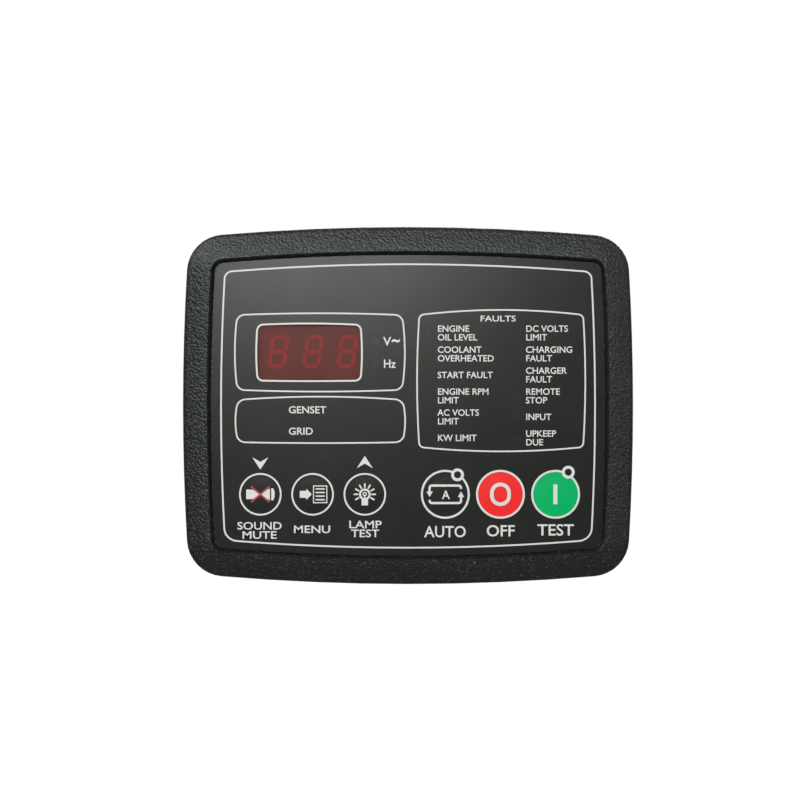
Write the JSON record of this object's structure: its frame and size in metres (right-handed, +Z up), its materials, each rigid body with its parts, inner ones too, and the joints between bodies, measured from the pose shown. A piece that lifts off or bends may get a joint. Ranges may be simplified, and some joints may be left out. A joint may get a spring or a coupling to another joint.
{
  "type": "genset controller",
  "caption": "Panel-mounted generator controller with a bowed black front, membrane keys, a digit display, fault lamps and a rear case with plug-in terminals.",
  "frame": {"origin": "middle of the panel cut-out, on the plane where the gasket meets the front of the panel", "axes": "+X right and +Z up as seen from the front, +Y into the panel"},
  "size_m": [0.155, 0.048, 0.123],
  "materials": {
    "frame_plastic": "stippled black moulding",
    "membrane_film": "satin dark grey film with white print",
    "red_filter": "clear red filter",
    "gasket_rubber": "closed-cell foam",
    "key_plastic": "plain moulded",
    "button_plastic": "plain moulded",
    "circuit_board": "green solder mask",
    "switch_metal": "tinned cover",
    "module_plastic": "grey face",
    "segment_resin": "cast pink resin, unlit",
    "red_lamp": "clear red resin",
    "amber_lamp": "clear amber resin",
    "green_lamp": "clear green resin",
    "spacer_nylon": "natural nylon",
    "chip_resin": "moulded epoxy",
    "plated_steel": "zinc plated",
    "link_plastic": "black moulding",
    "pin_metal": "plated",
    "relay_plastic": "blue moulding",
    "capacitor_sleeve": "shrink sleeve",
    "surge_resin": "dipped resin",
    "copper_coil": "enamelled copper",
    "case_plastic": "fine spark texture",
    "terminal_plastic": "green polyamide"
  },
  "bodies": {
    "housing": {"front_frame": "frame_plastic", "membrane_face": "membrane_film", "display_window": "red_filter", "panel_gasket": "gasket_rubber", "display_board": "circuit_board", "main_board": "circuit_board", "tact_switches": "switch_metal", "digit_module": "module_plastic", "digit_segments": "segment_resin", "fault_lamps": "red_lamp", "unit_lamps": "amber_lamp", "supply_lamps": "green_lamp", "mode_lamps": "green_lamp", "lamp_spacers": "spacer_nylon", "control_chip": "chip_resin", "driver_chips": "chip_resin", "crystal": "plated_steel", "board_spacers": "plated_steel", "case_screws": "plated_steel", "wire_clamps": "plated_steel", "terminal_screws": "plated_steel", "left_bracket": "plated_steel", "right_bracket": "plated_steel", "clamp_screws": "plated_steel", "link_socket": "link_plastic", "link_header": "link_plastic", "link_pins": "pin_metal", "header_pins": "pin_metal", "relays": "relay_plastic", "capacitors": "capacitor_sleeve", "surge_discs": "surge_resin", "choke": "copper_coil", "rear_case": "case_plastic", "upper_headers": "terminal_plastic", "lower_headers": "terminal_plastic", "upper_plugs": "terminal_plastic", "lower_plugs": "terminal_plastic"},
    "mute": {"mute_key": "key_plastic", "mute_button": "button_plastic"},
    "menu": {"menu_key": "key_plastic", "menu_button": "button_plastic"},
    "lamp_test": {"lamp_test_key": "key_plastic", "lamp_test_button": "button_plastic"},
    "auto": {"auto_key": "key_plastic", "auto_button": "button_plastic"},
    "off": {"off_key": "key_plastic", "off_button": "button_plastic"},
    "test": {"test_key": "key_plastic", "test_button": "button_plastic"}
  },
  "joints": [
    {"name": "mute_press", "type": "slide", "parent": "housing", "child": "mute", "axis": [0, 1, 0], "range_m": [0, 0.0003], "stiffness_N_per_m": 6000},
    {"name": "menu_press", "type": "slide", "parent": "housing", "child": "menu", "axis": [0, 1, 0], "range_m": [0, 0.0003], "stiffness_N_per_m": 6000},
    {"name": "lamp_test_press", "type": "slide", "parent": "housing", "child": "lamp_test", "axis": [0, 1, 0], "range_m": [0, 0.0003], "stiffness_N_per_m": 6000},
    {"name": "auto_press", "type": "slide", "parent": "housing", "child": "auto", "axis": [0, 1, 0], "range_m": [0, 0.0003], "stiffness_N_per_m": 6000},
    {"name": "off_press", "type": "slide", "parent": "housing", "child": "off", "axis": [0, 1, 0], "range_m": [0, 0.0003], "stiffness_N_per_m": 6000},
    {"name": "test_press", "type": "slide", "parent": "housing", "child": "test", "axis": [0, 1, 0], "range_m": [0, 0.0003], "stiffness_N_per_m": 6000}
  ]
}
